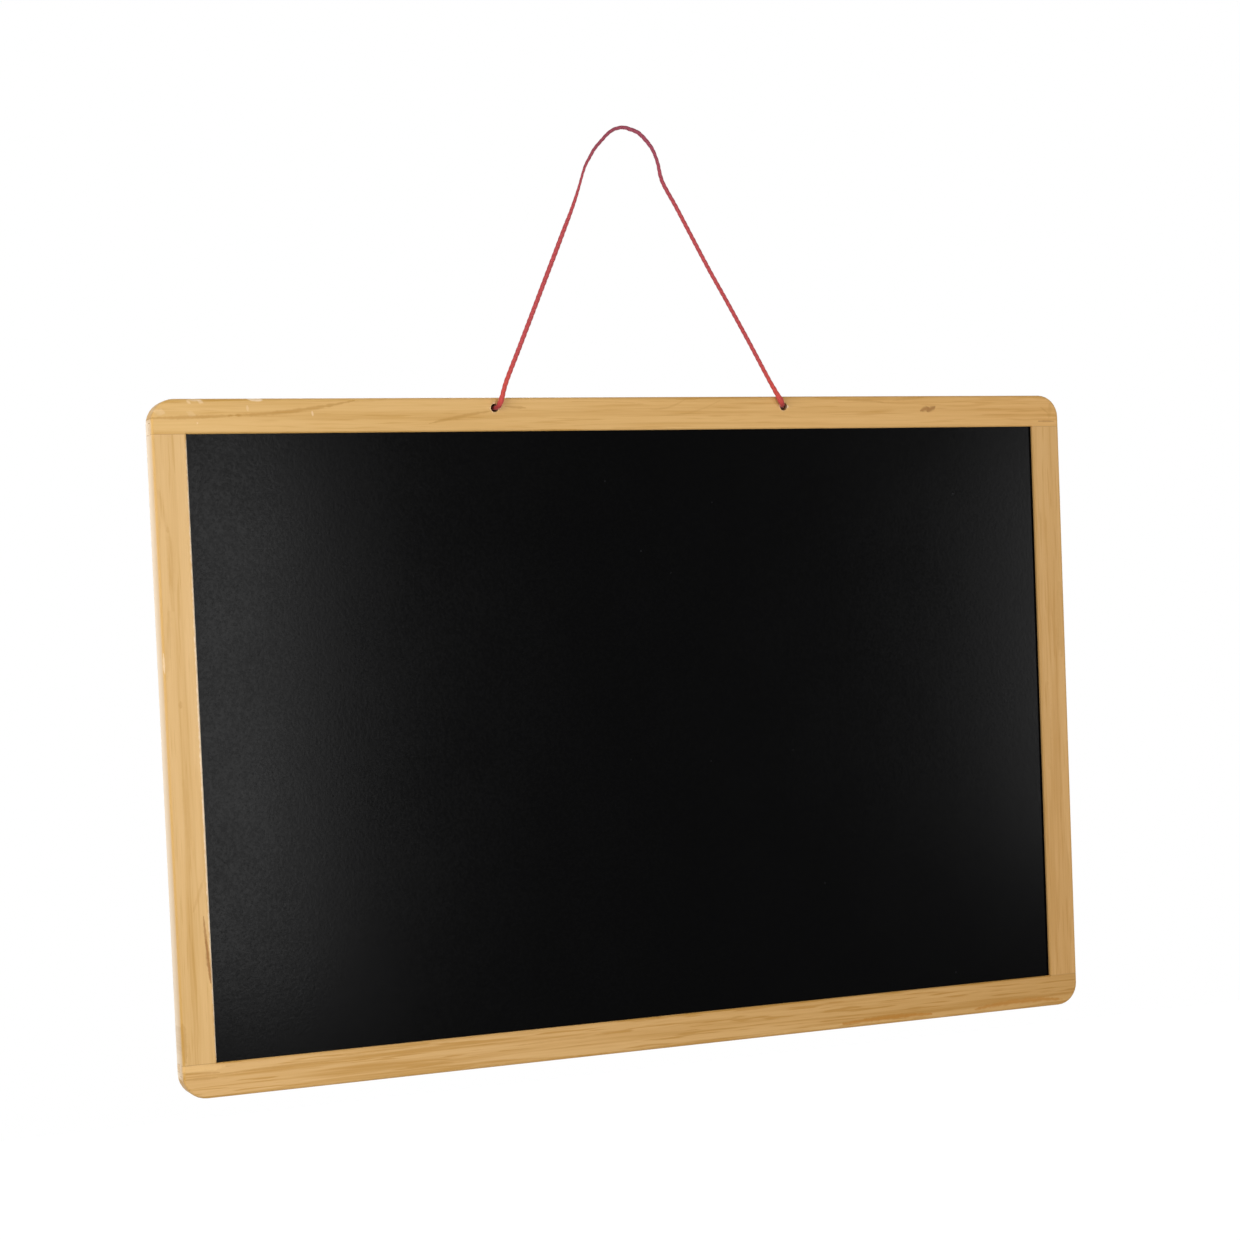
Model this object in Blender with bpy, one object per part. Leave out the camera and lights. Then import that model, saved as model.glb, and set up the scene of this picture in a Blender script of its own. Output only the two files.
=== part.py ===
"""Wall chalkboard: a black writing panel in a pine frame that hangs from a red cord.

Metres, +Z up. +X is to the right of someone who faces the board, and +Y points at the wall.
The origin is the point where the cord's loop rests on its nail.
"""
import math

import bmesh
import bpy
from mathutils import Matrix, Vector

# Frame
BOARD_WIDTH = 0.450
BOARD_HEIGHT = 0.300
FRAME_DEPTH = 0.011
MEMBER_WIDTH = 0.015
CORNER_RADIUS = 0.0105
OUTER_ROUND = 0.0012
OPENING_CHAMFER = 0.0005
SEAM_GAP = 0.0002
FIT_GAP = 0.0003

# Writing panel and the groove that holds it
PANEL_THICKNESS = 0.003
PANEL_RECESS = 0.002
GROOVE_DEPTH = 0.005
PANEL_EDGE_GAP = 0.0005

# Cord and its two drilled holes
CORD_DIAMETER = 0.0022
HOLE_DIAMETER = 0.0038
HOLE_DROP = 0.0047
HOLE_SPACING = 0.1441
HOLE_OFFSET = 0.0026
HANG_HEIGHT = 0.12055
HANG_OFFSET = 0.0020

# Overhand knots behind the holes, whose strands the pull has squeezed
KNOT_CORD_DIAMETER = 0.0020
KNOT_CLEARANCE = 0.0006

# Corner staples, two across each seam on the back
STAPLE_CROWN = 0.0100
STAPLE_WIRE_WIDTH = 0.0012
STAPLE_WIRE_THICKNESS = 0.0006
STAPLE_SINK = 0.0001
STAPLE_CLEARANCE = 0.0001
STAPLE_TIP_WALL = 0.0005
STAPLE_INSET = 0.0045
STAPLE_PITCH = 0.0060

# Cutters run this far past the faces that they open
OVERRUN = 0.002

# A point this close to a face lies on it, and points this close to each other are one
NEAR = OVERRUN / 10
WELD = OVERRUN / 1000

# Facets
CORNER_STEPS = 8
ROUND_STEPS = 3
HOLE_SIDES = 24
CORD_RESOLUTION = 2
CORD_STEP_DIAMETERS = 2.0
KNOT_STEP_DIAMETERS = 0.62
ROUTE_SAMPLES = 24
DOME_DEGREES = (80, 60, 40, 20)

# Sizes that follow from those above
CORD_RADIUS = CORD_DIAMETER / 2
HOLE_RADIUS = HOLE_DIAMETER / 2
FRONT_Y = CORD_RADIUS + FIT_GAP
BACK_Y = FRONT_Y + FRAME_DEPTH
MIDDLE_Y = (FRONT_Y + BACK_Y) / 2
CENTRE_X = HANG_OFFSET
TOP_Z = -HANG_HEIGHT
BOTTOM_Z = TOP_Z - BOARD_HEIGHT
MIDDLE_Z = (TOP_Z + BOTTOM_Z) / 2
OPENING_WIDTH = BOARD_WIDTH - 2 * MEMBER_WIDTH
OPENING_HEIGHT = BOARD_HEIGHT - 2 * MEMBER_WIDTH
PANEL_Y = FRONT_Y + PANEL_RECESS + PANEL_THICKNESS / 2
GROOVE_WIDTH = PANEL_THICKNESS + 2 * FIT_GAP
TENON_LENGTH = GROOVE_DEPTH - FIT_GAP
PANEL_TUCK = GROOVE_DEPTH - PANEL_EDGE_GAP
BACK_WALL = FRAME_DEPTH - PANEL_RECESS - PANEL_THICKNESS - FIT_GAP
STAPLE_LEG = BACK_WALL - STAPLE_TIP_WALL - STAPLE_SINK - STAPLE_CLEARANCE

# The cord lies against the upper inner side of each hole, up and towards the middle
CORD_SHIFT = (HOLE_RADIUS - CORD_RADIUS - FIT_GAP) * math.sqrt(1 / 2)
LEFT_HOLE_X = CENTRE_X + HOLE_OFFSET - HOLE_SPACING / 2
RIGHT_HOLE_X = CENTRE_X + HOLE_OFFSET + HOLE_SPACING / 2
HOLE_Z = TOP_Z - HOLE_DROP
LEFT_CORD_X = LEFT_HOLE_X + CORD_SHIFT
RIGHT_CORD_X = RIGHT_HOLE_X - CORD_SHIFT
SWING_Z = HOLE_Z + CORD_SHIFT

# The loop's route from hole to hole, as X and Z from the point on the nail
CORD_ROUTE = [
    (-0.0618, -0.1134),
    (-0.0553, -0.0992),
    (-0.0488, -0.0849),
    (-0.0423, -0.0705),
    (-0.0358, -0.0562),
    (-0.0309, -0.0453),
    (-0.0276, -0.0381),
    (-0.0246, -0.0309),
    (-0.0226, -0.0255),
    (-0.0207, -0.0200),
    (-0.0192, -0.0164),
    (-0.0170, -0.0128),
    (-0.0146, -0.0091),
    (-0.0106, -0.0048),
    (-0.0075, -0.0018),
    (-0.0045, 0.0001),
    (0.0000, 0.0011),
    (0.0034, 0.0004),
    (0.0073, -0.0010),
    (0.0112, -0.0045),
    (0.0140, -0.0081),
    (0.0156, -0.0117),
    (0.0167, -0.0153),
    (0.0173, -0.0189),
    (0.0183, -0.0225),
    (0.0201, -0.0261),
    (0.0243, -0.0332),
    (0.0302, -0.0440),
    (0.0401, -0.0621),
    (0.0486, -0.0767),
    (0.0590, -0.0950),
    (0.0692, -0.1135),
]

# The overhand knot's route in strand pitches: right, up and away from the back face
KNOT_ROUTE_SHARES = [
    (0.00, 0.00, 0.60),
    (0.00, -0.05, 1.20),
    (0.35, -0.15, 1.90),
    (1.05, -0.25, 2.30),
    (1.80, -0.20, 2.00),
    (2.15, 0.15, 1.35),
    (1.95, 0.70, 0.80),
    (1.15, 1.10, 0.58),
    (0.10, 1.12, 0.58),
    (-0.75, 0.80, 0.64),
    (-1.10, 0.05, 0.74),
    (-0.85, -0.70, 0.84),
    (-0.10, -1.10, 0.90),
    (0.70, -0.85, 1.00),
    (1.08, -0.20, 1.20),
    (1.05, 0.45, 1.60),
    (0.92, 1.10, 2.00),
    (0.92, 1.90, 2.20),
]
LEFT_KNOT_TURN = math.radians(200)
RIGHT_KNOT_TURN = math.radians(35)


def clear_scene():
    """Removes every object, so that only the board is left."""
    for old in list(bpy.data.objects):
        bpy.data.objects.remove(old)


def new_collection(name):
    made = bpy.data.collections.new(name)
    bpy.context.scene.collection.children.link(made)
    return made


def new_material(name, colour, roughness, metallic=0.0):
    """A Principled BSDF of one colour, given as linear red, green and blue."""
    made = bpy.data.materials.new(name)
    made.use_nodes = True
    shader = made.node_tree.nodes["Principled BSDF"]
    shader.inputs["Base Color"].default_value = (*colour, 1.0)
    shader.inputs["Roughness"].default_value = roughness
    shader.inputs["Metallic"].default_value = metallic
    made.diffuse_color = (*colour, 1.0)
    return made


def new_empty(name, place, collection):
    """An empty that carries one moving body."""
    made = bpy.data.objects.new(name, None)
    made.location = place
    collection.objects.link(made)
    return made


def add_part(name, data, place, body, material, turn=None):
    """Adds a piece to the board's collection, at a place in the whole object's frame."""
    made = bpy.data.objects.new(name, data)
    data.materials.clear()
    data.materials.append(material)
    PARTS.objects.link(made)
    made.parent = body
    made.location = Vector(place) - body.location
    if turn is not None:
        made.rotation_euler = turn.to_euler()
    return made


def add_cutter(name, mesh, place, body, turn=None):
    """Adds a hidden solid that other pieces are cut with."""
    made = bpy.data.objects.new(name, mesh)
    CUTTERS.objects.link(made)
    made.parent = body
    made.location = Vector(place) - body.location
    if turn is not None:
        made.rotation_euler = turn.to_euler()
    made.hide_render = True
    made.display_type = "WIRE"
    return made


def cut(target, cutter):
    """Takes the cutter's shape out of the target."""
    boolean = target.modifiers.new(cutter.name, "BOOLEAN")
    boolean.operation = "DIFFERENCE"
    boolean.solver = "EXACT"
    boolean.object = cutter


def finish_mesh(bm, name):
    mesh = bpy.data.meshes.new(name)
    bm.to_mesh(mesh)
    bm.free()
    return mesh


def sized_cube(size):
    """A unit cube scaled to a size, as a bmesh."""
    bm = bmesh.new()
    bmesh.ops.create_cube(bm, size=1.0)
    bmesh.ops.scale(bm, vec=size, verts=bm.verts)
    return bm


def box_mesh(name, size):
    return finish_mesh(sized_cube(size), name)


def edges_where(bm, test):
    """The edges whose two ends both pass a test."""
    return [edge for edge in bm.edges if all(test(vert.co) for vert in edge.verts)]


def smooth_round_faces(mesh):
    mesh.shade_smooth()
    mesh.set_sharp_from_angle(angle=math.radians(35))


def rail_mesh(name, outer):
    """A full-width rail with two rounded outer corners. outer is 1 on top and -1 below."""
    bm = sized_cube((BOARD_WIDTH, FRAME_DEPTH, MEMBER_WIDTH))
    half_depth = FRAME_DEPTH / 2
    half_width = BOARD_WIDTH / 2
    outer_z = outer * MEMBER_WIDTH / 2

    def at_corner(co):
        return abs(co.z - outer_z) < NEAR and abs(abs(co.x) - half_width) < NEAR

    corners = [
        edge
        for edge in edges_where(bm, at_corner)
        if abs(edge.verts[0].co.y - edge.verts[1].co.y) > half_depth
    ]
    bmesh.ops.bevel(
        bm, geom=corners, offset=CORNER_RADIUS, segments=CORNER_STEPS, profile=0.5, affect="EDGES"
    )

    def on_front(co):
        return abs(co.y + half_depth) < NEAR

    def on_back(co):
        return abs(co.y - half_depth) < NEAR

    def on_seam(co):
        return abs(co.z + outer_z) < NEAR

    seam = edges_where(bm, on_seam)
    outline = [
        edge
        for edge in edges_where(bm, on_front) + edges_where(bm, on_back)
        if edge not in seam
    ]
    bmesh.ops.bevel(
        bm, geom=outline, offset=OUTER_ROUND, segments=ROUND_STEPS, profile=0.5, affect="EDGES"
    )
    mesh = finish_mesh(bm, name)
    smooth_round_faces(mesh)
    return mesh


def stile_mesh(name, outer):
    """A stile with its two tenons' length. outer is 1 on the right and -1 on the left."""
    length = OPENING_HEIGHT + 2 * TENON_LENGTH
    bm = sized_cube((MEMBER_WIDTH, FRAME_DEPTH, length))
    outer_x = outer * MEMBER_WIDTH / 2

    def on_outer_side(co):
        return abs(co.x - outer_x) < NEAR

    long_edges = [
        edge
        for edge in edges_where(bm, on_outer_side)
        if abs(edge.verts[0].co.z - edge.verts[1].co.z) > FRAME_DEPTH
    ]
    bmesh.ops.bevel(
        bm, geom=long_edges, offset=OUTER_ROUND, segments=ROUND_STEPS, profile=0.5, affect="EDGES"
    )
    mesh = finish_mesh(bm, name)
    smooth_round_faces(mesh)
    return mesh


def opening_chamfer_mesh(name, face):
    """A flared plug the size of the frame's opening. face is -1 at the front and 1 at the back."""
    reach = OPENING_CHAMFER + OVERRUN
    bm = sized_cube((OPENING_WIDTH, reach, OPENING_HEIGHT))
    for vert in bm.verts:
        if vert.co.y * face > 0:
            vert.co.x += math.copysign(reach, vert.co.x)
            vert.co.z += math.copysign(reach, vert.co.z)
    return finish_mesh(bm, name)


def cylinder_mesh(name, radius, length, sides):
    """A cylinder along Y."""
    bm = bmesh.new()
    bmesh.ops.create_cone(
        bm, cap_ends=True, segments=sides, radius1=radius, radius2=radius, depth=length
    )
    quarter = Matrix.Rotation(math.pi / 2, 3, "X")
    bmesh.ops.rotate(bm, cent=(0, 0, 0), matrix=quarter, verts=bm.verts)
    return finish_mesh(bm, name)


def staple_outline(grow, head):
    """The U of a staple, grown all round, with its crown's outer side raised by head."""
    outer = STAPLE_CROWN / 2 + grow
    inner = STAPLE_CROWN / 2 - STAPLE_WIRE_THICKNESS - grow
    under = STAPLE_WIRE_THICKNESS + grow
    tip = STAPLE_LEG + grow
    point = tip - STAPLE_WIRE_THICKNESS
    return [
        (-outer, -head),
        (outer, -head),
        (outer, tip),
        (inner, point),
        (inner, under),
        (-inner, under),
        (-inner, point),
        (-outer, tip),
    ]


def outline_curve(name, outline, thickness):
    """A closed flat outline with a thickness, as a 2D curve."""
    curve = bpy.data.curves.new(name, "CURVE")
    curve.dimensions = "2D"
    curve.fill_mode = "BOTH"
    curve.extrude = thickness / 2
    spline = curve.splines.new("POLY")
    spline.points.add(len(outline) - 1)
    for point, (x, y) in zip(spline.points, outline):
        point.co = (x, y, 0, 1)
    spline.use_cyclic_u = True
    return curve


def mesh_of_curve(curve):
    """The curve's solid as a mesh, with its caps welded to its sides."""
    holder = bpy.data.objects.new(curve.name, curve)
    CUTTERS.objects.link(holder)
    graph = bpy.context.evaluated_depsgraph_get()
    mesh = bpy.data.meshes.new_from_object(holder.evaluated_get(graph))
    bpy.data.objects.remove(holder)
    bm = bmesh.new()
    bm.from_mesh(mesh)
    bmesh.ops.remove_doubles(bm, verts=bm.verts, dist=WELD)
    bmesh.ops.recalc_face_normals(bm, faces=bm.faces)
    bm.to_mesh(mesh)
    bm.free()
    return mesh


def through_points(points):
    """A smooth curve through the points: a centripetal spline, sampled finely."""
    first = 2 * points[0] - points[1]
    last = 2 * points[-1] - points[-2]
    row = [first, *points, last]
    line = []
    for p0, p1, p2, p3 in zip(row, row[1:], row[2:], row[3:]):
        t1 = math.sqrt((p1 - p0).length)
        t2 = t1 + math.sqrt((p2 - p1).length)
        t3 = t2 + math.sqrt((p3 - p2).length)
        for step in range(ROUTE_SAMPLES):
            t = t1 + (t2 - t1) * step / ROUTE_SAMPLES
            a1 = p0.lerp(p1, t / t1)
            a2 = p1.lerp(p2, (t - t1) / (t2 - t1))
            a3 = p2.lerp(p3, (t - t2) / (t3 - t2))
            b1 = a1.lerp(a2, t / t2)
            b2 = a2.lerp(a3, (t - t1) / (t3 - t1))
            line.append(b1.lerp(b2, (t - t1) / (t2 - t1)))
    line.append(points[-1])
    return line


def evenly_spaced(line, spacing):
    """The line again, with points about one spacing apart."""
    lengths = [0.0]
    for before, after in zip(line, line[1:]):
        lengths.append(lengths[-1] + (after - before).length)
    count = max(2, round(lengths[-1] / spacing))
    spaced = []
    at = 0
    for number in range(count + 1):
        wanted = lengths[-1] * number / count
        while at < len(line) - 2 and lengths[at + 1] < wanted:
            at += 1
        share = (wanted - lengths[at]) / (lengths[at + 1] - lengths[at])
        spaced.append(line[at].lerp(line[at + 1], share))
    return spaced


def cord_curve(name, points, diameter, radii=None):
    """A round cord along the points, with filled ends."""
    curve = bpy.data.curves.new(name, "CURVE")
    curve.dimensions = "3D"
    curve.bevel_depth = diameter / 2
    curve.bevel_resolution = CORD_RESOLUTION
    curve.use_fill_caps = True
    spline = curve.splines.new("POLY")
    spline.points.add(len(points) - 1)
    for number, place in enumerate(points):
        spline.points[number].co = (*place, 1)
        spline.points[number].radius = radii[number] if radii else 1.0
    spline.use_smooth = True
    return curve


def dome(centre, inward):
    """Ring centres and radius shares that round off a cord's end, from the tip inwards."""
    rings = []
    for degrees in DOME_DEGREES:
        angle = math.radians(degrees)
        rings.append((centre - inward * CORD_RADIUS * math.sin(angle), math.cos(angle)))
    return rings


def make_loop(body, material):
    """The free loop of cord, from the front of one hole over the nail to the other."""
    start = Vector((LEFT_CORD_X, 0, SWING_Z))
    end = Vector((RIGHT_CORD_X, 0, SWING_Z))
    route = [start, *(Vector((x, 0, z)) for x, z in CORD_ROUTE), end]
    spaced = evenly_spaced(through_points(route), CORD_DIAMETER * CORD_STEP_DIAMETERS)
    left = dome(start, (spaced[1] - spaced[0]).normalized())
    right = dome(end, (spaced[-2] - spaced[-1]).normalized())
    rings = [*left, *((place, 1.0) for place in spaced), *reversed(right)]
    places = [place for place, share in rings]
    shares = [share for place, share in rings]
    curve = cord_curve("cord_loop", places, CORD_DIAMETER, shares)
    return add_part("cord_loop", curve, (0, 0, 0), body, material)


def make_cord_end(side, x, body, material):
    """The straight length of cord that fills one hole."""
    half = FRAME_DEPTH / 2
    points = [Vector((0, -half, 0)), Vector((0, 0, 0)), Vector((0, half, 0))]
    curve = cord_curve(side + "_cord_end", points, CORD_DIAMETER)
    return add_part(side + "_cord_end", curve, (x, MIDDLE_Y, SWING_Z), body, material)


def make_knot(side, x, turn, body, material):
    """The overhand knot that stops the cord behind its hole."""
    pitch = KNOT_CORD_DIAMETER + KNOT_CLEARANCE
    entry = Vector((0, FIT_GAP, 0))
    route = [entry]
    for right, up, away in KNOT_ROUTE_SHARES:
        route.append(Vector((right * pitch, FIT_GAP + away * pitch, up * pitch)))
    spaced = evenly_spaced(through_points(route), KNOT_CORD_DIAMETER * KNOT_STEP_DIAMETERS)
    curve = cord_curve(side + "_stopper_knot", spaced, KNOT_CORD_DIAMETER)
    place = (x, BACK_Y, SWING_Z)
    spin = Matrix.Rotation(turn, 3, "Y")
    return add_part(side + "_stopper_knot", curve, place, body, material, spin)


def make_frame(body, pine):
    """The two full-width rails and the two stiles between them, grooved for the panel."""
    rails = {}
    stiles = {}
    for name, outer in (("top", 1), ("bottom", -1)):
        z = MIDDLE_Z + outer * (BOARD_HEIGHT - MEMBER_WIDTH) / 2
        mesh = rail_mesh(name + "_rail", outer)
        rails[name] = add_part(name + "_rail", mesh, (CENTRE_X, MIDDLE_Y, z), body, pine)
        inner_z = MIDDLE_Z + outer * OPENING_HEIGHT / 2
        groove = box_mesh(
            name + "_groove", (BOARD_WIDTH + OVERRUN, GROOVE_WIDTH, 2 * GROOVE_DEPTH)
        )
        place = (CENTRE_X, PANEL_Y, inner_z)
        cut(rails[name], add_cutter(name + "_groove", groove, place, body))
    for name, outer in (("left", -1), ("right", 1)):
        x = CENTRE_X + outer * (BOARD_WIDTH - MEMBER_WIDTH) / 2
        mesh = stile_mesh(name + "_stile", outer)
        stiles[name] = add_part(name + "_stile", mesh, (x, MIDDLE_Y, MIDDLE_Z), body, pine)
        inner_x = CENTRE_X + outer * OPENING_WIDTH / 2
        groove = box_mesh(
            name + "_groove", (2 * GROOVE_DEPTH, GROOVE_WIDTH, BOARD_HEIGHT + OVERRUN)
        )
        place = (inner_x, PANEL_Y, MIDDLE_Z)
        cut(stiles[name], add_cutter(name + "_groove", groove, place, body))
        cut_tenons(name, x, stiles[name], body)
    for name, face, y in (("front", -1, FRONT_Y), ("back", 1, BACK_Y)):
        middle = y - face * (OPENING_CHAMFER - OVERRUN) / 2
        flare = opening_chamfer_mesh(name + "_chamfer", face)
        cutter = add_cutter(name + "_chamfer", flare, (CENTRE_X, middle, MIDDLE_Z), body)
        for member in (*rails.values(), *stiles.values()):
            cut(member, cutter)
    return rails, stiles


def cut_tenons(name, x, stile, body):
    """Cuts the cheeks off both ends of a stile, which leaves a tenon the panel's thickness."""
    tenon_front = PANEL_Y - PANEL_THICKNESS / 2
    tenon_back = PANEL_Y + PANEL_THICKNESS / 2
    cheek_height = TENON_LENGTH + SEAM_GAP + OVERRUN
    cheeks = (
        ("front", FRONT_Y - OVERRUN, tenon_front),
        ("back", tenon_back, BACK_Y + OVERRUN),
    )
    for face, low_y, high_y in cheeks:
        size = (MEMBER_WIDTH + 2 * OVERRUN, high_y - low_y, cheek_height)
        mesh = box_mesh(face + "_cheek", size)
        for end, up in (("top", 1), ("bottom", -1)):
            z = MIDDLE_Z + up * (OPENING_HEIGHT / 2 - SEAM_GAP + cheek_height / 2)
            label = "_".join((name, end, face, "cheek"))
            place = (x, (low_y + high_y) / 2, z)
            cut(stile, add_cutter(label, mesh, place, body))


def make_panel(body, slate_black):
    """The writing panel, tucked into the grooves all round."""
    size = (
        OPENING_WIDTH + 2 * PANEL_TUCK,
        PANEL_THICKNESS,
        OPENING_HEIGHT + 2 * PANEL_TUCK,
    )
    mesh = box_mesh("writing_panel", size)
    place = (CENTRE_X, PANEL_Y, MIDDLE_Z)
    return add_part("writing_panel", mesh, place, body, slate_black)


def drill_holes(rail, body):
    """The two holes in the top rail that the cord goes through."""
    length = FRAME_DEPTH + 2 * OVERRUN
    mesh = cylinder_mesh("cord_hole", HOLE_RADIUS, length, HOLE_SIDES)
    for name, x in (("left", LEFT_HOLE_X), ("right", RIGHT_HOLE_X)):
        place = (x, MIDDLE_Y, HOLE_Z)
        cut(rail, add_cutter(name + "_cord_hole", mesh, place, body))


def make_staples(rails, stiles, body, steel):
    """Two staples across each corner seam, sunk into pockets in the frame's back."""
    across_seam = Matrix(((0, 0, 1), (0, -1, 0), (1, 0, 0)))
    staple = outline_curve("staple", staple_outline(0, 0), STAPLE_WIRE_WIDTH)
    pocket_width = STAPLE_WIRE_WIDTH + 2 * STAPLE_CLEARANCE
    pocket_outline = staple_outline(STAPLE_CLEARANCE, STAPLE_SINK + OVERRUN)
    pocket = mesh_of_curve(outline_curve("staple_pocket", pocket_outline, pocket_width))
    crown_y = BACK_Y - STAPLE_SINK
    for rail_name, up in (("top", 1), ("bottom", -1)):
        seam_z = MIDDLE_Z + up * (OPENING_HEIGHT - SEAM_GAP) / 2
        for stile_name, outer in (("left", -1), ("right", 1)):
            for number, inset in enumerate((STAPLE_INSET, STAPLE_INSET + STAPLE_PITCH), start=1):
                x = CENTRE_X + outer * (BOARD_WIDTH / 2 - inset)
                place = (x, crown_y, seam_z)
                label = f"{rail_name}_{stile_name}_staple_{number}"
                add_part(label, staple, place, body, steel, across_seam)
                cutter = add_cutter(label + "_pocket", pocket, place, body, across_seam)
                cut(rails[rail_name], cutter)
                cut(stiles[stile_name], cutter)


def main():
    pine = new_material("pine", (0.64, 0.40, 0.15), 0.55)
    slate_black = new_material("blackboard_paint", (0.006, 0.006, 0.007), 0.75)
    red_cord = new_material("red_cord", (0.42, 0.055, 0.06), 0.85)
    steel = new_material("staple_steel", (0.55, 0.55, 0.56), 0.35, 1.0)

    nail_point = new_empty("nail_point", (0, 0, 0), PARTS)
    board = new_empty("board_swing_axis", (CENTRE_X, 0, SWING_Z), PARTS)

    make_loop(nail_point, red_cord)
    rails, stiles = make_frame(board, pine)
    drill_holes(rails["top"], board)
    make_panel(board, slate_black)
    make_staples(rails, stiles, board, steel)
    for side, x, turn in (
        ("left", LEFT_CORD_X, LEFT_KNOT_TURN),
        ("right", RIGHT_CORD_X, RIGHT_KNOT_TURN),
    ):
        make_cord_end(side, x, board, red_cord)
        make_knot(side, x, turn, board, red_cord)


clear_scene()
PARTS = new_collection("wall_chalkboard")
CUTTERS = new_collection("cutters")
main()
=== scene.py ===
"""The looks of a wall chalkboard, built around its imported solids.

Metres, +Z up. +X is to the right of someone who faces the board, and +Y points at the wall.
The origin is the point where the cord's loop rests on its nail.
"""

import math

import bmesh
import bpy
import numpy as np
from bpy.props import FloatProperty, FloatVectorProperty, IntProperty, PointerProperty
from bpy.types import Operator, Panel, PropertyGroup
from mathutils import Matrix, Vector


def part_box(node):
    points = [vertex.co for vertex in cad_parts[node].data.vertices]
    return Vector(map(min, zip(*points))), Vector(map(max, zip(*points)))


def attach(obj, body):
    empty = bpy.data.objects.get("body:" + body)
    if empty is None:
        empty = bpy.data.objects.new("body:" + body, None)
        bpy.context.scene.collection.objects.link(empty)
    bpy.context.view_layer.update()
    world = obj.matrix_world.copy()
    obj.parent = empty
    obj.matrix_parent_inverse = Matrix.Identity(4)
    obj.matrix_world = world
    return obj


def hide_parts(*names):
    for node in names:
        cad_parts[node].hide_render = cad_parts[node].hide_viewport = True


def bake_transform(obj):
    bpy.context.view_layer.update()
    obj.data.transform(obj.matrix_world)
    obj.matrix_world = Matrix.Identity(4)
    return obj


bl_info = {
    "name": "Wall Chalkboard",
    "version": (1, 0, 0),
    "blender": (4, 5, 0),
    "location": "3D View > Sidebar > Chalkboard",
    "description": "Dresses a small hanging chalkboard: pine frame, black panel and red cord",
    "category": "Add Mesh",
}

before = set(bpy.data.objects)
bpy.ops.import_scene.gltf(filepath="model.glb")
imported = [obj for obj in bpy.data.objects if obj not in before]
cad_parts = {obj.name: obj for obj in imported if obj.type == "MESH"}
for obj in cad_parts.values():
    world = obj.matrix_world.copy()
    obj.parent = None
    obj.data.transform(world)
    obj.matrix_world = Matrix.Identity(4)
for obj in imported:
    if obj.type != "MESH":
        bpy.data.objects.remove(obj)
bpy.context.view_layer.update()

ORIGIN = (0.0, 0.0, 0.0)

# The board's own places, read from its solids
TOP_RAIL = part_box("top_rail")
BOTTOM_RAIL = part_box("bottom_rail")
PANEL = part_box("writing_panel")
BORES = {"left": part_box("left_cord_end"), "right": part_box("right_cord_end")}
FRONT_Y = TOP_RAIL[0].y
BACK_Y = TOP_RAIL[1].y
BOARD_CENTRE = (TOP_RAIL[1] + BOTTOM_RAIL[0]) / 2
BOARD_REACH = (TOP_RAIL[1].x - TOP_RAIL[0].x) / 2

# The loop's route from hole to hole: X and Z from the nail, then how wide the cord is from the
# front, as a share of its plain thickness
LOOP_ROUTE = [
    (-0.0618, -0.1134, 1.00),
    (-0.0553, -0.0992, 1.00),
    (-0.0488, -0.0849, 1.04),
    (-0.0423, -0.0705, 1.04),
    (-0.0358, -0.0562, 1.00),
    (-0.0309, -0.0453, 0.95),
    (-0.0276, -0.0381, 0.80),
    (-0.0246, -0.0309, 0.68),
    (-0.0226, -0.0255, 0.52),
    (-0.0207, -0.0200, 0.52),
    (-0.0192, -0.0164, 0.60),
    (-0.0170, -0.0128, 0.68),
    (-0.0146, -0.0091, 0.72),
    (-0.0106, -0.0048, 0.74),
    (-0.0075, -0.0018, 0.76),
    (-0.0045, 0.0001, 0.78),
    (0.0000, 0.0011, 0.82),
    (0.0034, 0.0004, 0.86),
    (0.0073, -0.0010, 0.88),
    (0.0112, -0.0045, 0.86),
    (0.0140, -0.0081, 0.78),
    (0.0156, -0.0117, 0.68),
    (0.0167, -0.0153, 0.72),
    (0.0173, -0.0189, 0.80),
    (0.0183, -0.0225, 0.84),
    (0.0201, -0.0261, 0.86),
    (0.0243, -0.0332, 0.86),
    (0.0302, -0.0440, 0.86),
    (0.0401, -0.0621, 0.86),
    (0.0486, -0.0767, 0.87),
    (0.0590, -0.0950, 0.88),
    (0.0692, -0.1135, 0.90),
]

# The cord's way from the middle of each hole, out at its front and into the loop's leg: X, Y and
# Z, then how thick it is there, as a share of its plain thickness
MOUTH_ROUTES = {
    "left": [
        (-0.0670, 0.0060, -0.1250, 1.00),
        (-0.0667, 0.0026, -0.1251, 0.95),
        (-0.0666, 0.0012, -0.1250, 0.97),
        (-0.0661, 0.0001, -0.1246, 1.08),
        (-0.0656, -0.0007, -0.1235, 1.18),
        (-0.0651, -0.0009, -0.1220, 1.16),
        (-0.0644, -0.0008, -0.1202, 1.06),
        (-0.0632, -0.0004, -0.1168, 1.00),
    ],
    "right": [
        (0.0762, 0.0060, -0.1249, 1.00),
        (0.0760, 0.0028, -0.1248, 0.95),
        (0.0759, 0.0014, -0.1247, 0.98),
        (0.0754, 0.0003, -0.1242, 1.14),
        (0.0747, -0.0003, -0.1232, 1.32),
        (0.0739, -0.0004, -0.1217, 1.30),
        (0.0727, -0.0003, -0.1197, 1.08),
        (0.0711, -0.0001, -0.1168, 1.00),
    ],
}
# How far each of those points lies in the hole's shade
MOUTH_SHADE_SHARES = (0.90, 0.90, 0.90, 0.78, 0.42, 0.12, 0.0, 0.0)

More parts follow.
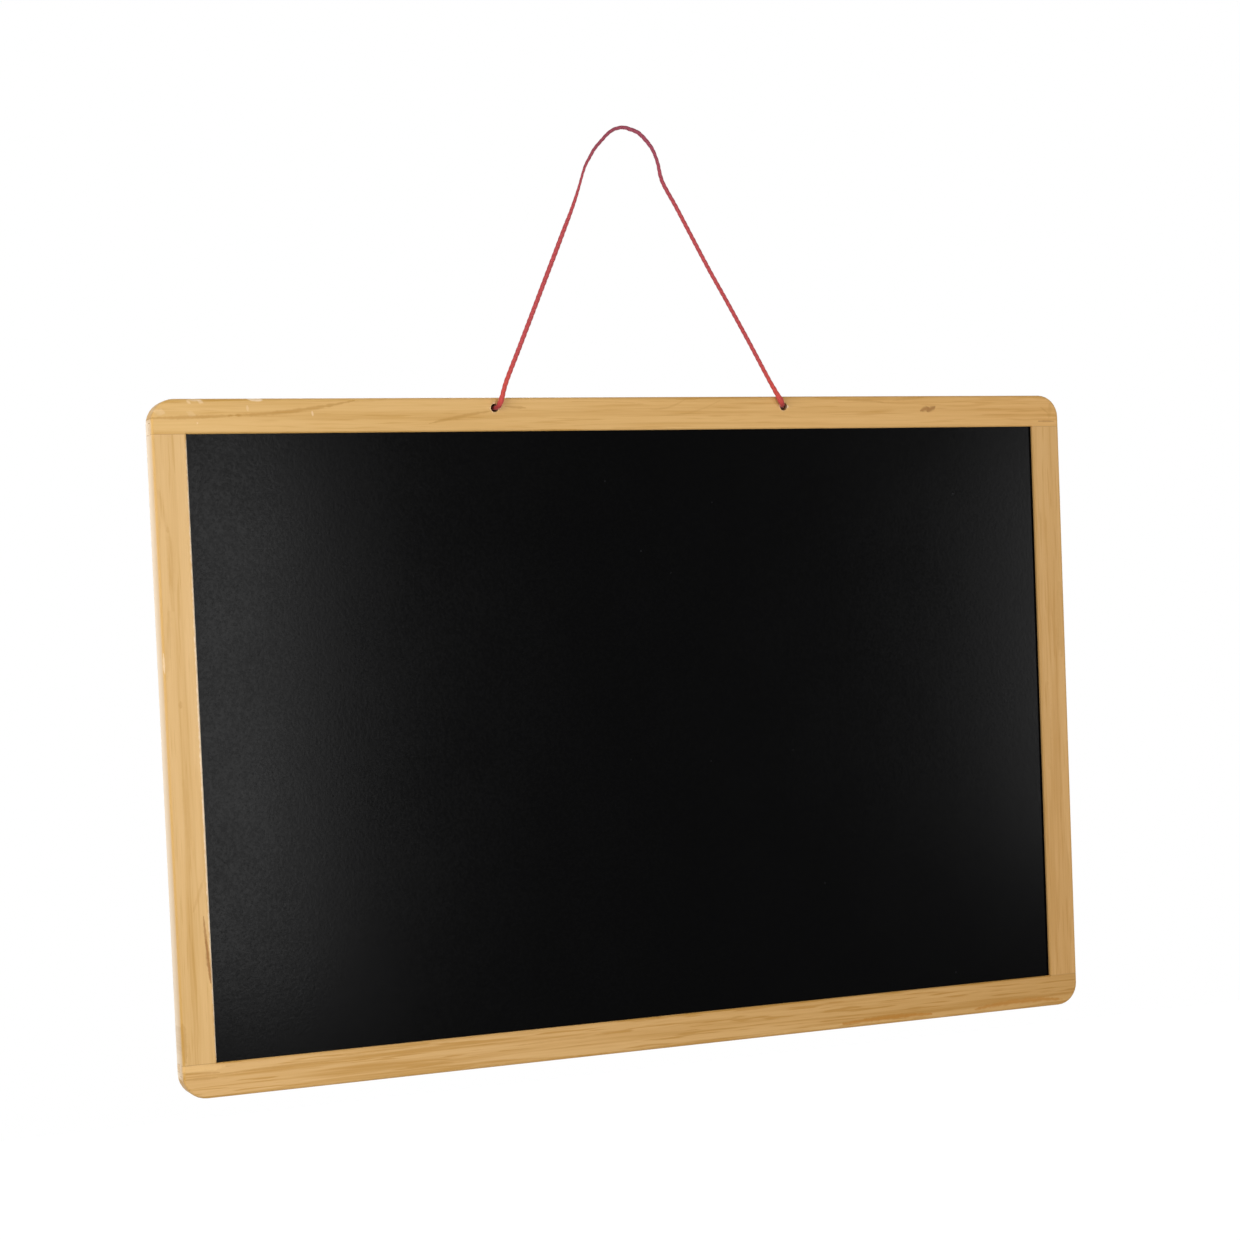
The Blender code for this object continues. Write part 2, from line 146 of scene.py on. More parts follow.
# The overhand knot's route in strand pitches: right, up and away from the back face
KNOT_ROUTE_SHARES = [
    (0.00, 0.00, 0.60),
    (0.00, -0.05, 1.20),
    (0.35, -0.15, 1.90),
    (1.05, -0.25, 2.30),
    (1.80, -0.20, 2.00),
    (2.15, 0.15, 1.35),
    (1.95, 0.70, 0.80),
    (1.15, 1.10, 0.58),
    (0.10, 1.12, 0.58),
    (-0.75, 0.80, 0.64),
    (-1.10, 0.05, 0.74),
    (-0.85, -0.70, 0.84),
    (-0.10, -1.10, 0.90),
    (0.70, -0.85, 1.00),
    (1.08, -0.20, 1.20),
    (1.05, 0.45, 1.60),
    (0.92, 1.10, 2.00),
    (0.92, 1.90, 2.20),
]
# How far each knot is turned about its hole
KNOT_TURNS = {"left": math.radians(200), "right": math.radians(35)}

# How finely the cord is made: steps from one point of its route to the next, the distance from
# ring to ring, and the points round a ring
ROUTE_STEPS = 40
RING_SPACING = 0.00035
RING_SIDES = 27
# How far a ply's middle lies from the cord's, and the ply's radius, in radii of the cord
PLY_OFFSET_SHARE, PLY_RADIUS_SHARE = 0.28, 0.72
# The direction that the first ring's side is worked out from
FIRST_SIDE = (0.3, 0.5, 0.8)
# How dulled the loop is at places from its peak, 0, to its ends, 1
DULLED_PLACES = (0.0, 0.14, 0.35, 0.90, 1.0)
DULLED_SHARES = (1.0, 0.95, 0.40, 0.30, 0.0)

# Each member: which way its grain runs, where the tree's pith was, its tint at its low and its
# high end, and how strong its grain is. The tints are partly the wood's own tone and partly
# painted shade: the bottom rail darkens towards its right and the right stile towards its foot,
# where the light falls off
MEMBERS = {
    "top_rail": ("X", (0.0, 0.062, -0.175), (0.86, 0.86, 0.83), (0.91, 0.84, 0.75), 0.8),
    "bottom_rail": ("X", (0.0, 0.080, -0.470), (0.90, 0.88, 0.90), (0.71, 0.64, 0.52), 1.8),
    "left_stile": ("Z", (0.0, 0.070, -0.250), (0.89, 0.89, 0.92), (0.86, 0.88, 0.97), 0.7),
    "right_stile": ("Z", (0.0, 0.066, 0.180), (0.76, 0.69, 0.62), (0.83, 0.785, 0.75), 0.8),
}

# What shows in each member's face: which of the timber's colours, from X, Z to X, Z, how far it
# bows to its side, how wide it is and how strong
MARKS = {
    "top_rail": [
        ("line", -0.2240, -0.1288, -0.1840, -0.1277, -0.0002, 0.0012, 0.55),
        ("line", -0.1890, -0.1279, -0.1330, -0.1217, -0.0013, 0.0013, 0.60),
        ("line", -0.1345, -0.1221, -0.1180, -0.1212, 0.0, 0.0008, 0.22),
        ("line", -0.0985, -0.1320, -0.0696, -0.1266, 0.0003, 0.0011, 0.52),
        ("line", -0.0624, -0.1246, -0.0525, -0.1253, 0.0, 0.0010, 0.48),
        ("line", -0.0300, -0.1226, 0.0050, -0.1236, 0.0003, 0.0006, 0.18),
        ("line", 0.0080, -0.1262, 0.0270, -0.1212, -0.0016, 0.0007, 0.22),
        ("line", 0.0130, -0.1290, 0.0440, -0.1222, -0.0022, 0.0007, 0.18),
        ("line", 0.1060, -0.1222, 0.1300, -0.1236, 0.0004, 0.0010, 0.38),
        ("line", 0.1350, -0.1226, 0.1520, -0.1212, 0.0, 0.0009, 0.25),
        ("resin", 0.1502, -0.1276, 0.1542, -0.1262, 0.0, 0.0017, 0.82),
        ("resin", 0.1536, -0.1278, 0.1580, -0.1257, 0.0, 0.0019, 0.86),
        ("line", 0.2226, -0.1248, 0.2217, -0.1316, 0.0, 0.0018, 0.25),
        ("line", 0.2170, -0.1262, 0.2210, -0.1290, 0.0, 0.0007, 0.32),
        ("resin", 0.2155, -0.1331, 0.2245, -0.1332, 0.0, 0.0007, 0.60),
        ("bare", -0.2070, -0.1213, -0.2056, -0.1226, 0.0, 0.0011, 0.26),
        ("bare", -0.2066, -0.1210, -0.2010, -0.1213, 0.0, 0.0009, 0.32),
        ("bare", -0.2022, -0.1215, -0.2000, -0.1225, 0.0, 0.0012, 0.28),
        ("bare", -0.2213, -0.1256, -0.2172, -0.1264, 0.0, 0.0022, 0.14),
        ("bare", -0.2070, -0.1264, -0.2040, -0.1276, 0.0, 0.0018, 0.09),
        ("bare", -0.2031, -0.1309, -0.2027, -0.1311, 0.0, 0.0008, 0.26),
        ("bare", -0.1805, -0.1209, -0.1740, -0.1212, 0.0, 0.0012, 0.55),
        ("bare", -0.1808, -0.1236, -0.1805, -0.1261, 0.0, 0.0008, 0.17),
        ("bare", -0.1520, -0.1263, -0.1517, -0.1283, 0.0, 0.0009, 0.34),
        # Round the two holes: chipped wood and painted light on the rims, where the bore walls
        # catch it
        ("bare", -0.06955, -0.12525, -0.06535, -0.12525, 0.0, 0.0026, 0.60),
        ("bare", 0.07455, -0.12525, 0.07875, -0.12525, 0.0, 0.0026, 0.60),
    ],
    "bottom_rail": [
        ("early", -0.2320, -0.4070, -0.2050, -0.4072, 0.0, 0.0030, 0.65),
        ("line", -0.2235, -0.4087, -0.2070, -0.4097, 0.0, 0.0010, 0.42),
        ("line", -0.2220, -0.4115, -0.2080, -0.4118, 0.0, 0.0009, 0.38),
        ("line", -0.2080, -0.4108, -0.1580, -0.4098, 0.0004, 0.0009, 0.24),
        ("line", -0.1500, -0.4082, -0.1020, -0.4072, 0.0003, 0.0008, 0.24),
        ("line", -0.0700, -0.4120, -0.0250, -0.4112, 0.0003, 0.0008, 0.24),
        ("line", 0.0100, -0.4100, 0.0500, -0.4108, 0.0003, 0.0009, 0.20),
        ("line", 0.0900, -0.4090, 0.1300, -0.4098, 0.0, 0.0008, 0.24),
        ("orange", 0.0960, -0.4183, 0.1440, -0.4180, 0.0007, 0.0017, 0.72),
        ("orange", 0.1683, -0.4182, 0.2180, -0.4178, 0.0015, 0.0019, 0.66),
        # Painted shade: the dark line along the bottom rail's lower arris, which turns away from
        # the light
        ("line", -0.2000, -0.4208, 0.2160, -0.4208, 0.0, 0.0020, 0.45),
    ],
    "left_stile": [
        # Painted highlight: the pale line along the left stile's inner edge, where its bevel
        # catches the light
        ("bare", -0.2081, -0.1380, -0.2081, -0.4040, 0.0, 0.0011, 0.80),
        ("bare", -0.2224, -0.2285, -0.2223, -0.2372, 0.0, 0.0007, 0.42),
        ("line", -0.2213, -0.1590, -0.2180, -0.1770, 0.0, 0.0016, 0.15),
        ("line", -0.2182, -0.1753, -0.2174, -0.2102, 0.0004, 0.0022, 0.14),
        ("line", -0.2190, -0.2110, -0.2220, -0.2398, 0.0, 0.0022, 0.13),
        ("line", -0.2160, -0.2490, -0.2162, -0.2520, 0.0, 0.0012, 0.28),
        ("line", -0.2163, -0.2828, -0.2151, -0.3129, 0.0, 0.0022, 0.10),
        ("line", -0.2101, -0.3262, -0.2150, -0.3396, 0.0, 0.0012, 0.20),
        ("line", -0.2221, -0.3876, -0.2216, -0.4036, 0.0, 0.0024, 0.34),
        ("resin", -0.2107, -0.3420, -0.2095, -0.3610, 0.0, 0.0009, 0.75),
        ("resin", -0.2101, -0.3520, -0.2089, -0.3710, 0.0, 0.0012, 0.90),
    ],
    "right_stile": [
        ("line", 0.2244, -0.2120, 0.2246, -0.2480, 0.0, 0.0034, 0.22),
        ("line", 0.2154, -0.2610, 0.2152, -0.3030, 0.0, 0.0034, 0.20),
    ],
}

# The pine's patterns: how many features a metre they have along and across the grain, and how
# many layers of detail
PINE_PATTERNS = {
    "Fibres": ((60.0, 2400.0, 2400.0), 3.0),
    "Streaks": ((9.0, 420.0, 420.0), 4.0),
    "Dashes": ((42.0, 1050.0, 1050.0), 1.0),
    "Tone": ((6.0, 60.0, 60.0), 2.0),
}
STRAY_PATTERN = ((7.0, 45.0, 45.0), 2.5)
# The yarn's patterns in the same way, with Z along the cord
YARN_PATTERNS = {
    "Fibres": ((6500.0, 6500.0, 750.0), 2.0),
    "Slubs": ((300.0, 300.0, 210.0), 2.0),
}
# Where across a ring its late wood starts, is full and has ended, and the faintest ring
RING_START, RING_FULL, RING_END = 0.30, 0.90, 0.93
FAINTEST_RING = 0.35
# How wide a mark is at its ends and how far it is full, as shares of its width, and how many
# wobbles it has a metre
MARK_END, MARK_CORE, MARK_WOBBLES = 0.35, 0.15, 420.0

# Tints near the frame's outer sides: how far in they start and are full, and how strong. The first
# is painted shade that darkens the outer arris, the second painted light that makes the sides pale
# as if lit
ARRIS_SHADE_TINT = (0.0014, 0.0008, 0.45)
LIT_SIDE_TINT = (0.0003, 0.00005, 0.90)
# Between which depths behind the front the painted light on the sides grows from the least share
# to the whole, so that they are paler towards the back
LIT_SIDE_DEPTHS, LIT_SIDE_LEAST = (0.0010, 0.0080), 0.40
# Between which depths the pale marks in the front end: chips, and painted light on the left
# stile's inner edge and round the holes
CHIP_DEPTHS = (0.0015, 0.0030)
# In how many steps the glue follows the frame's rounded arris
ARRIS_STEPS = 6

# Noise keeps mostly between these values
NOISE_LOW, NOISE_HIGH = 0.3, 0.7
# How high the grain of each surface stands
PINE_BUMP, PAINT_BUMP, CORD_BUMP, STAPLE_BUMP = 0.00003, 0.00002, 0.00008, 0.00001
# How much straight light pine and cord mirror
PINE_GLOSS, CORD_GLOSS = 0.22, 0.25
# How far the paint reaches behind the panel's face, and the size of the staples' grain
PAINT_DEPTH, STAPLE_GRAIN = 0.0002, 0.0006

# Pale flecks in the panel's paint: X, Z and how strong
FLECKS = [
    (-0.0147, -0.1585, 0.6),
    (0.0018, -0.1908, 0.5),
    (0.0164, -0.2013, 0.6),
    (0.0387, -0.1691, 0.7),
    (0.1674, -0.1676, 0.6),
    (-0.0075, -0.2864, 0.5),
    (0.0330, -0.2892, 0.7),
    (0.0758, -0.2864, 0.5),
    (0.0900, -0.3505, 0.6),
    (0.1596, -0.3993, 0.7),
]

# The lamps: where they hang, how wide and high they are, and which setting holds their power
LAMPS = {
    "key_lamp": ((-0.80, -0.45, -0.02), 0.60, 0.60, "key_power"),
    "side_lamp": ((-1.20, 0.10, -0.27), 0.40, 0.40, "side_power"),
    "back_lamp": ((0.40, 1.60, 0.30), 0.50, 0.50, "back_power"),
    "left_gleam": ((0.17, -1.50, -0.29), 0.15, 0.60, "left_power"),
    "right_gleam": ((1.15, -1.30, -0.24), 0.20, 0.50, "right_power"),
}
FLOOR_SIZE = 8.0
WHITE = (1.0, 1.0, 1.0, 1.0)


def length(label, text, default):
    return FloatProperty(name=label, description=text, default=default, unit="LENGTH", precision=5)


def share(label, text, default):
    return FloatProperty(name=label, description=text, default=default, subtype="FACTOR")


def turn(label, text, degrees):
    return FloatProperty(
        name=label, description=text, default=math.radians(degrees), subtype="ANGLE"
    )


def power(label, text, default):
    return FloatProperty(name=label, description=text, default=default, unit="POWER")


def colour(label, text, default):
    return FloatVectorProperty(
        name=label, description=text, default=default, size=3, subtype="COLOR", min=0.0, max=1.0
    )


class ChalkboardStudio(PropertyGroup):
    """The camera, the lamps and the floor."""

    eye: FloatVectorProperty(
        name="Camera Place",
        description="Where the camera stands, from the nail",
        default=(-0.4773, -1.0948, -0.2259),
        subtype="TRANSLATION",
        unit="LENGTH",
    )
    yaw: turn("Yaw", "How far the camera turns to its left", -22.929)
    pitch: turn("Pitch", "How far the camera looks up", -2.666)
    roll: turn("Roll", "How far the camera leans to its right", 2.366)
    lens: FloatProperty(
        name="Lens",
        description="Focal length on a 36 mm wide sensor",
        default=75.613,
        unit="CAMERA",
    )
    rise: share("Rise", "How far the lens is shifted up, in picture widths", 0.10478)
    floor_drop: length("Floor Drop", "How far the floor lies below the board", 0.75)
    floor_colour: colour("Floor Colour", "The pale floor", (0.86, 0.86, 0.86))
    floor_lift: share("Floor Lift", "How far the floor is whitened to the eye", 0.86)
    ambient: share("Ambient", "How bright the surrounding white is on surfaces", 0.17)
    key_power: power("Key Lamp", "Power of the soft lamp at the left", 5.9)
    side_power: power("Side Lamp", "Power of the lamp that lights the left side", 1.2)
    back_power: power("Back Lamp", "Power of the lamp that lights the board's back", 12.0)
    left_power: power("Left Gleam", "Power of the slim lamp that gleams on the panel's left", 7.7)
    right_power: power("Right Gleam", "Power of the slim lamp that gleams on its right", 5.6)


class ChalkboardTimber(PropertyGroup):
    """The pine of the frame."""

    early: colour("Early Wood", "The pale wood between the rings", (0.760, 0.480, 0.192))
    # The late wood's colour is also laid on the outer arris as painted shade
    late: colour("Late Wood", "The darker wood of the rings", (0.563, 0.312, 0.076))
    # The lines' brown is also laid along the bottom rail's lower arris as painted shade
    line: colour("Grain Lines", "The brown of the lines of grain", (0.400, 0.203, 0.035))
    orange: colour("Orange Streaks", "The orange of the strongest streaks", (0.400, 0.160, 0.010))
    resin: colour("Resin", "Resin, pin knots and the darkest lines", (0.320, 0.145, 0.032))
    # The bare wood's colour also serves as painted light: on the frame's outer sides, along the
    # left stile's inner edge and round the holes
    bare: colour("Bare Wood", "Wood where the varnish is worn or chipped", (0.950, 0.780, 0.580))
    ring_width: length("Ring Width", "From one ring of the tree to the next", 0.0052)
    wander: length("Wander", "How far the rings stray along a member", 0.0060)
    glue: colour("Glue", "The glue that shows in the seams", (0.400, 0.220, 0.060))
    seam: length("Seam", "How wide the seams between rails and stiles are", 0.0002)
    glue_inset: length("Glue Inset", "How far the glue lies below the wood", 0.00006)
    glue_depth: length("Glue Depth", "How far the glue reaches in from the frame's sides", 0.003)
    outer_round: length("Outer Round", "The radius of the frame's outer arris", 0.0012)
    inner_bevel: length("Inner Bevel", "The bevel of the frame's inner arris", 0.0005)
    groove_play: length("Groove Play", "From the panel's face to the groove's wall", 0.0003)


class ChalkboardSurface(PropertyGroup):
    """The writing panel."""

    paint: colour("Paint", "The black chalkboard paint", (0.0006, 0.0006, 0.0007))
    fleck: colour("Fleck", "Tiny pale flecks in the paint", (0.020, 0.020, 0.022))
    fleck_size: length("Fleck Size", "Across a fleck", 0.0008)
    gloss: share("Gloss", "How much straight light the paint mirrors", 0.0275)
    roughness: share("Roughness", "How far the paint spreads what it mirrors", 0.20)
    board: colour("Board", "The bare hardboard at the back", (0.190, 0.098, 0.045))
    grain: length("Grain", "The size of the paint's grain", 0.0013)


class ChalkboardCord(PropertyGroup):
    """The red cord."""

    thickness: length("Thickness", "Across the cord", 0.0022)
    plies: IntProperty(name="Plies", description="Strands in the twist", default=3, min=2, max=6)
    lay: length("Lay", "The length in which a ply goes once round", 0.0087)
    knot_thickness: length("Knot Thickness", "Across the cord where the knot squeezes it", 0.0020)
    knot_clearance: length("Knot Clearance", "Between the knot's strands", 0.0006)
    seat_gap: length("Seat Gap", "Between the knot and the frame's back", 0.0003)
    red: colour("Red", "The cord's own red", (0.625, 0.078, 0.064))
    dull: colour("Dull Red", "The red where hands and nail have dulled it", (0.330, 0.068, 0.108))
    # The shade colour is painted shade: the red between the fibres and on the cord where it lies
    # inside the holes
    shade: colour("Shade", "The red deep between the fibres", (0.240, 0.014, 0.015))


class Wiring:
    """Adds nodes to one tree and joins them up."""

    def __init__(self, tree):
        self.tree = tree

    def add(self, kind, inputs=(), **settings):
        made = self.tree.nodes.new(kind)
        for name, value in settings.items():
            setattr(made, name, value)
        for name, value in dict(inputs).items():
            self.feed(made.inputs[name], value)
        return made

    def feed(self, socket, value):
        if isinstance(value, bpy.types.NodeSocket):
            self.tree.links.new(value, socket)
        else:
            socket.default_value = value

    def use(self, group, inputs):
        """Places a node group and returns its outputs."""
        return self.add("ShaderNodeGroup", inputs, node_tree=group).outputs

    def sum(self, operation, *values, clamp=False):
        """A Math node on one, two or three values."""
        made = self.add("ShaderNodeMath", operation=operation, use_clamp=clamp)
        for socket, value in zip(made.inputs, values):
            self.feed(socket, value)
        return made.outputs["Value"]

    def vector(self, operation, *values, output="Vector"):
        """A Vector Math node."""
        made = self.add("ShaderNodeVectorMath", operation=operation)
        for socket, value in zip(made.inputs, values):
            self.feed(socket, value)
        return made.outputs[output]

    def measure(self, operation, *values):
        """A Vector Math node that puts out a number."""
        return self.vector(operation, *values, output="Value")

    def scale(self, vector, value):
        scaled = self.vector("SCALE", vector)
        self.feed(scaled.node.inputs["Scale"], value)
        return scaled

    def parts(self, place):
        return self.add("ShaderNodeSeparateXYZ", {"Vector": place}).outputs

    def noise(self, place, stretch, detail=2.0, output="Fac"):
        """Noise at so many features a metre along each axis."""
        scaled = self.vector("MULTIPLY", place, stretch)
        inputs = {"Vector": scaled, "Scale": 1.0, "Detail": detail}
        return self.add("ShaderNodeTexNoise", inputs).outputs[output]

    def between(self, value, low, high, to_low=0.0, to_high=1.0, way="SMOOTHSTEP"):
        """A value's way from low to high, smooth or straight."""
        inputs = {
            "Value": value, "From Min": low, "From Max": high, "To Min": to_low, "To Max": to_high
        }
        made = self.add("ShaderNodeMapRange", inputs, interpolation_type=way)
        return made.outputs["Result"]

    def noises(self, place, patterns, leave):
        """Feeds a noise for each pattern to the output of its name."""
        for name, (stretch, detail) in patterns.items():
            self.feed(leave[name], self.noise(place, stretch, detail))

    def spread(self, noise, least, most):
        """Noise stretched so that it mostly keeps between two values."""
        return self.between(noise, NOISE_LOW, NOISE_HIGH, least, most)

    def grey(self, value):
        """The same value three times over, as a colour."""
        inputs = dict.fromkeys("XYZ", value)
        return self.add("ShaderNodeCombineXYZ", inputs).outputs["Vector"]

    def mix(self, share_of_b, a, b, blend="MIX"):
        """A mix of two colours."""
        made = self.add("ShaderNodeMix", data_type="RGBA", blend_type=blend)
        self.feed(made.inputs["Factor"], share_of_b)
        self.feed(made.inputs[6], a)
        self.feed(made.inputs[7], b)
        return made.outputs[2]


def new_group(name, inputs, outputs):
    """A shader node group. Returns it, its wiring, what comes in and what goes out.

    An input with three numbers is a vector, and every output is one number.
    """
    group = bpy.data.node_groups.new(name, "ShaderNodeTree")
    for label, value in inputs.items():
        kind = "NodeSocketVector" if isinstance(value, tuple) else "NodeSocketFloat"
        socket = group.interface.new_socket(label, in_out="INPUT", socket_type=kind)
        socket.default_value = value
    for label in outputs:
        group.interface.new_socket(label, in_out="OUTPUT", socket_type="NodeSocketFloat")
    wiring = Wiring(group)
    entry = wiring.add("NodeGroupInput").outputs
    leave = wiring.add("NodeGroupOutput").inputs
    return group, wiring, entry, leave


def pine_grain_group():
    """Rings of a tree cut lengthwise, with its fibres. The grain runs along the place's X."""
    group, wiring, entry, leave = new_group(
        "pine_grain",
        {"Place": ORIGIN, "Pith": ORIGIN, "Ring Width": 0.003, "Wander": 0.004},
        ("Rings", *PINE_PATTERNS),
    )
    place = entry["Place"]
    stretch, detail = STRAY_PATTERN
    stray = wiring.noise(place, stretch, detail, output="Color")
    stray = wiring.vector("SUBTRACT", stray, (0.5, 0.5, 0.5))
    stray = wiring.scale(stray, entry["Wander"])
    ring = wiring.vector("ADD", wiring.vector("SUBTRACT", place, entry["Pith"]), stray)
    ring = wiring.vector("MULTIPLY", ring, (0.0, 1.0, 1.0))
    turns = wiring.sum("DIVIDE", wiring.measure("LENGTH", ring), entry["Ring Width"])
    across = wiring.sum("FRACT", turns)
    slow = wiring.between(across, RING_START, RING_FULL)
    fast = wiring.between(across, RING_END, 1.0, 1.0, 0.0)
    number = wiring.sum("FLOOR", turns)
    strength = wiring.add("ShaderNodeTexWhiteNoise", {"W": number}, noise_dimensions="1D")
    strength = strength.outputs["Value"]
    strength = wiring.sum("MULTIPLY_ADD", strength, 1.0 - FAINTEST_RING, FAINTEST_RING)
    rings = wiring.sum("MULTIPLY", wiring.sum("MULTIPLY", slow, fast), strength)
    wiring.feed(leave["Rings"], rings)
    wiring.noises(place, PINE_PATTERNS, leave)
    return group


def grain_mark_group():
    """A soft line, bowed to its side and thinned at its ends, right through a member."""
    group, wiring, entry, leave = new_group(
        "grain_mark",
        {"Place": ORIGIN, "From": ORIGIN, "To": (0.1, 0.0, 0.0), "Bow": 0.0, "Width": 0.001},
        ("Mask",),
    )
    flat = wiring.vector("MULTIPLY", entry["Place"], (1.0, 0.0, 1.0))
    reach = wiring.vector("SUBTRACT", entry["To"], entry["From"])
    off = wiring.vector("SUBTRACT", flat, entry["From"])
    along = wiring.measure("DOT_PRODUCT", off, reach)
    along = wiring.sum("DIVIDE", along, wiring.measure("DOT_PRODUCT", reach, reach), clamp=True)
    left = wiring.sum("SUBTRACT", 1.0, along)
    hump = wiring.sum("MULTIPLY", wiring.sum("MULTIPLY", along, 4.0), left)
    side = wiring.vector("NORMALIZE", wiring.vector("CROSS_PRODUCT", reach, (0.0, 1.0, 0.0)))
    bowed = wiring.scale(side, wiring.sum("MULTIPLY", entry["Bow"], hump))
    line = wiring.vector("ADD", wiring.scale(reach, along), bowed)
    apart = wiring.measure("LENGTH", wiring.vector("SUBTRACT", off, line))
    shake = wiring.noise(flat, (MARK_WOBBLES, 0.0, MARK_WOBBLES))
    shake = wiring.sum("SUBTRACT", shake, 0.5)
    apart = wiring.sum("MULTIPLY_ADD", shake, entry["Width"], apart)
    width = wiring.sum("MULTIPLY_ADD", hump, 1.0 - MARK_END, MARK_END)
    width = wiring.sum("MULTIPLY", entry["Width"], width)
    core = wiring.sum("MULTIPLY", width, MARK_CORE)
    wiring.feed(leave["Mask"], wiring.between(apart, core, width, 1.0, 0.0))
    return group


def paint_grain_group():
    """The fine grain and the slow mottle of a surface."""
    group, wiring, entry, leave = new_group(
        "paint_grain", {"Place": ORIGIN, "Grain": 0.001}, ("Grain", "Mottle")
    )
    place = entry["Place"]
    per_grain = wiring.sum("DIVIDE", 1.0, entry["Grain"])
    fine = wiring.add("ShaderNodeTexNoise", {"Vector": place, "Scale": per_grain, "Detail": 3.0})
    wiring.feed(leave["Grain"], fine.outputs["Fac"])
    wiring.feed(leave["Mottle"], wiring.noise(place, (26.0, 26.0, 26.0), detail=5.0))
    return group


def yarn_group():
    """Fine fibres that run along a cord, from a place that is unrolled along it."""
    group, wiring, entry, leave = new_group("yarn", {"Place": ORIGIN}, YARN_PATTERNS)
    wiring.noises(entry["Place"], YARN_PATTERNS, leave)
    return group


def new_material(name):
    """A material with its wiring and its Principled shader."""
    material = bpy.data.materials.new(name)
    material.use_nodes = True
    wiring = Wiring(material.node_tree)
    return material, wiring, material.node_tree.nodes["Principled BSDF"]


def set_values(shader, values):
    """Sets a shader's even values on its own sockets."""
    for name, value in values.items():
        shader.inputs[name].default_value = value


def own_place(wiring):
    """The piece's own coordinates, which move with it."""
    return wiring.add("ShaderNodeTexCoord").outputs["Object"]


def along_grain(wiring, place, grain):
    """The place with X along the grain of a member that runs along X or Z."""
    if grain == "X":
        return place
    part = wiring.parts(place)
    inputs = {"X": part["Z"], "Y": part["Y"], "Z": part["X"]}
    return wiring.add("ShaderNodeCombineXYZ", inputs).outputs["Vector"]


def rough_and_bumpy(wiring, shader, roughness, height, distance):
    """Feeds roughness and a bump of that height."""
    wiring.feed(shader.inputs["Roughness"], roughness)
    bump = wiring.add("ShaderNodeBump", {"Height": height, "Distance": distance})
    wiring.feed(shader.inputs["Normal"], bump.outputs["Normal"])


def rgba(value):
    return (*value, 1.0)


def marked(wiring, base, place, mark, tint, groups, depth=1.0):
    """The base colour with one mark laid over it, as deep as its depth mask goes."""
    x0, z0, x1, z1, bow, width, strength = mark
    inputs = {
        "Place": place, "From": (x0, 0.0, z0), "To": (x1, 0.0, z1), "Bow": bow, "Width": width
    }
    mask = wiring.use(groups["grain_mark"], inputs)["Mask"]
    mask = wiring.sum("MULTIPLY", wiring.sum("MULTIPLY", mask, strength), depth)
    return wiring.mix(mask, base, rgba(tint))


def pine_material(node, timber, groups):
    """Clear varnished pine, cut from its own place in the tree."""
    grain, pith, low_tone, high_tone, streaks = MEMBERS[node]
    material, wiring, shader = new_material(node + "_pine")
    here = own_place(wiring)
    place = along_grain(wiring, here, grain)
    # Tint along the member, partly its own tone and partly painted shade where the light falls off
    low, high = [corner["XYZ".index(grain)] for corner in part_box(node)]
    along = wiring.between(wiring.parts(place)["X"], low, high, way="LINEAR")
    tone = wiring.mix(along, rgba(low_tone), rgba(high_tone))
    inputs = {
        "Place": place, "Pith": pith, "Ring Width": timber.ring_width, "Wander": timber.wander
    }
    wood = wiring.use(groups["pine_grain"], inputs)
    thickened = wiring.between(wood["Tone"], 0.2, 0.7, 0.8, 1.1)
    dashes = wiring.sum("MULTIPLY", wood["Dashes"], thickened)
    darker = (
        (wood["Streaks"], 0.46, 0.74, 0.55 * streaks),
        (dashes, 0.56, 0.70, 0.42 * streaks),
        (wood["Tone"], NOISE_LOW, NOISE_HIGH, 0.22),
        (wood["Fibres"], 0.25, 0.75, 0.15),
    )
    late = wiring.sum("MULTIPLY", wood["Rings"], 0.30 * streaks)
    for pattern, start, full, most in darker:
        more = wiring.between(pattern, start, full, 0.0, most)
        late = wiring.sum("ADD", late, more, clamp=True)
    base = wiring.mix(late, rgba(timber.early), rgba(timber.late))
    base = wiring.mix(1.0, base, tone, "MULTIPLY")
    outer = wiring.sum("ABSOLUTE", wiring.sum("SUBTRACT", wiring.parts(here)["X"], BOARD_CENTRE.x))
    # Painted shade darkens the outer arris towards the late wood, and painted light turns the
    # outer sides pale, paler towards the back
    edge, worn = (
        wiring.between(outer, BOARD_REACH - start, BOARD_REACH - full, 0.0, most)
        for start, full, most in (ARRIS_SHADE_TINT, LIT_SIDE_TINT)
    )
    base = wiring.mix(edge, base, rgba(timber.late))
    depth = wiring.sum("SUBTRACT", wiring.parts(here)["Y"], FRONT_Y)
    paler = wiring.between(depth, *LIT_SIDE_DEPTHS, LIT_SIDE_LEAST, 1.0, way="LINEAR")
    base = wiring.mix(wiring.sum("MULTIPLY", worn, paler), base, rgba(timber.bare))
    skin = wiring.between(depth, *CHIP_DEPTHS, 1.0, 0.0)
    for kind, *mark in MARKS[node]:
        reach = skin if kind == "bare" else 1.0
        base = marked(wiring, base, here, mark, getattr(timber, kind), groups, reach)
    wiring.feed(shader.inputs["Base Color"], base)
    roughness = wiring.between(wood["Fibres"], 0.2, 0.8, 0.42, 0.54)
    height = wiring.sum("MULTIPLY_ADD", late, -0.5, wood["Fibres"])
    rough_and_bumpy(wiring, shader, roughness, height, PINE_BUMP)
    set_values(shader, {"Specular IOR Level": PINE_GLOSS})
    return material


